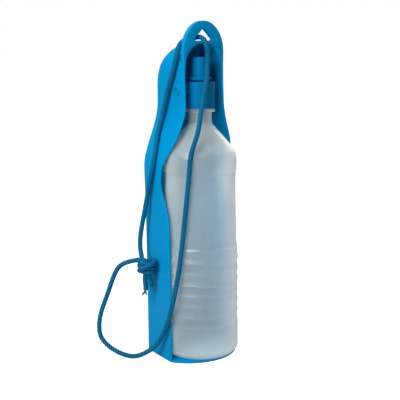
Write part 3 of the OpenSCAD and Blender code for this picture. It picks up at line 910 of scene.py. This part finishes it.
def frayTree():
    # loose filaments that spread from a cord's end, pointing down
    g = NodeTree("fray")
    g.socket("Geometry", "Geometry")
    g.socket("Count", "Int", 30)
    g.socket("Length", "Float", 0.006)
    g.socket("Spread", "Float", 0.5)
    g.socket("Bundle", "Float", 0.0014)
    g.socket("Thickness", "Float", 0.00012)
    g.socket("Seed", "Int", 3)
    g.socket("Material", "Material")
    g.socket("Geometry", "Geometry", out=True)
    put = g.node("NodeGroupInput").outputs

    def chance(low, high, offset):
        return g.node("FunctionNodeRandomValue", {
            2: low, 3: high, "Seed": g.math("ADD", put["Seed"], offset)}, data_type="FLOAT").outputs[1]
    angle = chance(0.0, 2 * math.pi, 0)
    reach = g.math("MULTIPLY", g.math("SQRT", chance(0.0, 1.0, 1)), put["Bundle"])
    x = g.math("MULTIPLY", reach, g.math("COSINE", angle))
    y = g.math("MULTIPLY", reach, g.math("SINE", angle))
    roots = g.node("GeometryNodePoints", {"Count": put["Count"], "Position": g.xyz(x, y, 0.0)}).outputs[0]
    tip = g.xyz(g.math("MULTIPLY", put["Length"], put["Spread"]), 0.0,
                g.math("MULTIPLY", put["Length"], -1.0))
    middle = g.xyz(0.0, 0.0, g.math("MULTIPLY", put["Length"], -0.55))
    hair = g.node("GeometryNodeCurveQuadraticBezier", {
        "Resolution": 7, "Start": (0, 0, 0), "Middle": middle, "End": tip}).outputs[0]
    lean = g.xyz(chance(-0.25, 0.25, 2), chance(-0.25, 0.25, 3), angle)
    size = chance(0.55, 1.15, 4)
    hairs = g.node("GeometryNodeInstanceOnPoints", {
        "Points": roots, "Instance": hair, "Rotation": lean, "Scale": g.xyz(size, size, size)}).outputs[0]
    real = g.node("GeometryNodeRealizeInstances", {"Geometry": hairs}).outputs[0]
    ring = g.node("GeometryNodeCurvePrimitiveCircle", {
        "Resolution": 5, "Radius": put["Thickness"]}).outputs[0]
    tube = g.node("GeometryNodeCurveToMesh", {
        "Curve": real, "Profile Curve": ring, "Fill Caps": True}).outputs[0]
    # a fixed crest value puts the filaments on the lit, painted-highlight side of the cord's colour ramp
    tube = g.node("GeometryNodeStoreNamedAttribute", {
        "Geometry": tube, "Name": "crest", "Value": 0.7}, data_type="FLOAT", domain="POINT").outputs[0]
    soft = g.node("GeometryNodeSetShadeSmooth", {"Geometry": tube}).outputs[0]
    coated = g.node("GeometryNodeSetMaterial", {"Geometry": soft, "Material": put["Material"]}).outputs[0]
    g.tree.links.new(coated, g.node("NodeGroupOutput").inputs["Geometry"])
    return g


braid, fray = braidTree(), frayTree()


def braided(name, points):
    c = lanyard
    return runTree(curvePiece(name, points), braid, {
        "Diameter": c["diameter"] * metre, "Strands": c["strands"],
        "Pick": c["pick"] * metre, "Relief": c["relief"] * metre, "Sides": c["sides"],
        "Step": c["step"] * metre, "Material": cordBlue})


def frayed(name, end, direction, seed):
    k = knot["fray"]
    hairs = runTree(curvePiece(name, [(0, 0, 0), (0, 0, -1)]), fray, {
        "Count": k["count"], "Length": k["length"] * metre, "Spread": k["spread"],
        "Bundle": k["bundle"] * metre, "Thickness": k["thickness"] * metre,
        "Seed": seed, "Material": cordBlue})
    turn = Vector((0, 0, -1)).rotation_difference(Vector(direction).normalized()).to_matrix().to_4x4()
    hairs.data.transform(Matrix.Translation(Vector(end) * metre) @ turn)
    return hairs


def knotPoint(across, deep, up):
    # the knot's own axes: across the knot, out of its front, and up
    right, near = Vector((0.788, -0.616, 0)), Vector((-0.616, -0.788, 0))
    return Vector(knot["place"]) + right * across + near * deep + Vector((0, 0, up))


def knotWrap():
    # two turns round the core, then a strand that rises over them across the front
    k = knot
    steps = 90
    points = []
    for i in range(steps + 1):
        u = i / steps
        phase = 2 * math.pi * (k["turns"] * u - 0.2)
        tuck = smooth(u / 0.12) * 0.75 + 0.25
        across = k["across"] * tuck * math.cos(phase)
        deep = k["deep"] * tuck * math.sin(phase)
        up = 4.6 - k["pitch"] * k["turns"] * u + k["tilt"] * across
        points.append(knotPoint(across, deep, up))
    points += [knotPoint(-6.2, 3.4, -3.2), knotPoint(-2.6, 6.4, -0.4), knotPoint(2.6, 6.6, 1.8),
               knotPoint(6.4, 3.4, 3.6), knotPoint(5.0, -0.8, 5.4), knotPoint(1.0, -1.2, 4.6)]
    return points


def addLanyard():
    c, k = lanyard, knot
    route = smoothRoute(c["route"], 1.0)
    cord = braided("lanyardCord", route)
    first, last = Vector(c["route"][0]), Vector(c["route"][-1])
    core = [
        [first + (first - Vector(c["route"][1])) * 0.02, knotPoint(-2.6, -1.6, 4), knotPoint(-1.6, 0.4, 0),
         knotPoint(-1.8, 1.0, -4), *[Vector(p) for p in k["tails"][0]]],
        [last, knotPoint(-3.0, 1.2, 5.2), knotPoint(1.6, 0.8, 3.5), knotPoint(2.0, -0.4, -1),
         knotPoint(1.4, -0.6, -4.5), *[Vector(p) for p in k["tails"][1]]]]
    parts = [braided("core", smoothRoute(points, 0.8)) for points in core]
    parts.append(braided("wrap", smoothRoute(knotWrap(), 0.8)))
    for seed, tail in enumerate(k["tails"]):
        end = Vector(tail[-1])
        parts.append(frayed("frayedEnd", end, end - Vector(tail[-2]), seed + k["fray"]["seed"]))
    tied = joinPieces("lanyardKnot", parts)
    handOver(cord, "trough_body", "cord", cordBlue, "lanyard")
    handOver(tied, "trough_body", "cord", cordBlue, "lanyard_knot")


addLanyard()
print("lanyard braided")


# Floor, backdrop and light

light = {
    "key": {"place": (-0.95, -0.35, 0.75), "size": 0.7, "power": 12.0},
    "fill": {"place": (0.6, -1.1, 0.4), "size": 0.9, "power": 1.0},
    "top": {"place": (0.0, 0.1, 1.3), "size": 0.8, "power": 7.0},
    "edge": {"place": (1.0, 0.35, 0.45), "size": 0.5, "power": 2.3, "tint": (1.0, 0.86, 0.74)},
    "world": 0.14, "floorLift": 0.95,
}


def seenDirectly(tree):
    # the camera, and whatever shines through the bottle, meets a white backdrop
    path = tree.nodes.new("ShaderNodeLightPath")
    either = tree.nodes.new("ShaderNodeMath")
    either.operation = "MAXIMUM"
    tree.links.new(path.outputs["Is Camera Ray"], either.inputs[0])
    tree.links.new(path.outputs["Is Transmission Ray"], either.inputs[1])
    return either.outputs[0]


def addFloor():
    floor = meshPiece("floor", [(-4000, -4000, -0.05), (4000, -4000, -0.05), (4000, 4000, -0.05),
                                (-4000, 4000, -0.05)], [(0, 1, 2, 3)], smoothShade=False)
    finish = Finish("pale floor", **{"Base Color": (0.55, 0.55, 0.55, 1), "Roughness": 0.9,
                                     "Specular IOR Level": 0.1})
    lift = finish.node("ShaderNodeMath", {0: seenDirectly(finish.tree), 1: light["floorLift"]},
                       operation="MULTIPLY")
    finish.shader.inputs["Emission Color"].default_value = (1, 1, 1, 1)
    finish.tree.links.new(lift.outputs[0], finish.shader.inputs["Emission Strength"])
    floor.data.materials.append(finish.material)


def addLights():
    for name in ("key", "fill", "top", "edge"):
        values = light[name]
        lamp = bpy.data.lights.new(name, "AREA")
        lamp.energy = values["power"]
        lamp.color = values.get("tint", (1, 1, 1))
        lamp.size = values["size"]
        holder = bpy.data.objects.new(name, lamp)
        holder.location = values["place"]
        aim = Vector((0, 0, 0.14)) - Vector(values["place"])
        holder.rotation_euler = aim.to_track_quat("-Z", "Y").to_euler()
        scene.collection.objects.link(holder)
    world = bpy.data.worlds.new("studio")
    scene.world = world
    world.use_nodes = True
    tree = world.node_tree
    back = tree.nodes["Background"]
    back.inputs["Color"].default_value = (1, 1, 1, 1)
    strength = tree.nodes.new("ShaderNodeMixRGB")
    strength.inputs[1].default_value = (light["world"],) * 3 + (1,)
    strength.inputs[2].default_value = (1, 1, 1, 1)
    tree.links.new(seenDirectly(tree), strength.inputs[0])
    tree.links.new(strength.outputs[0], back.inputs["Strength"])


addFloor()
addLights()
scene.view_settings.view_transform = "Standard"
print("studio set")
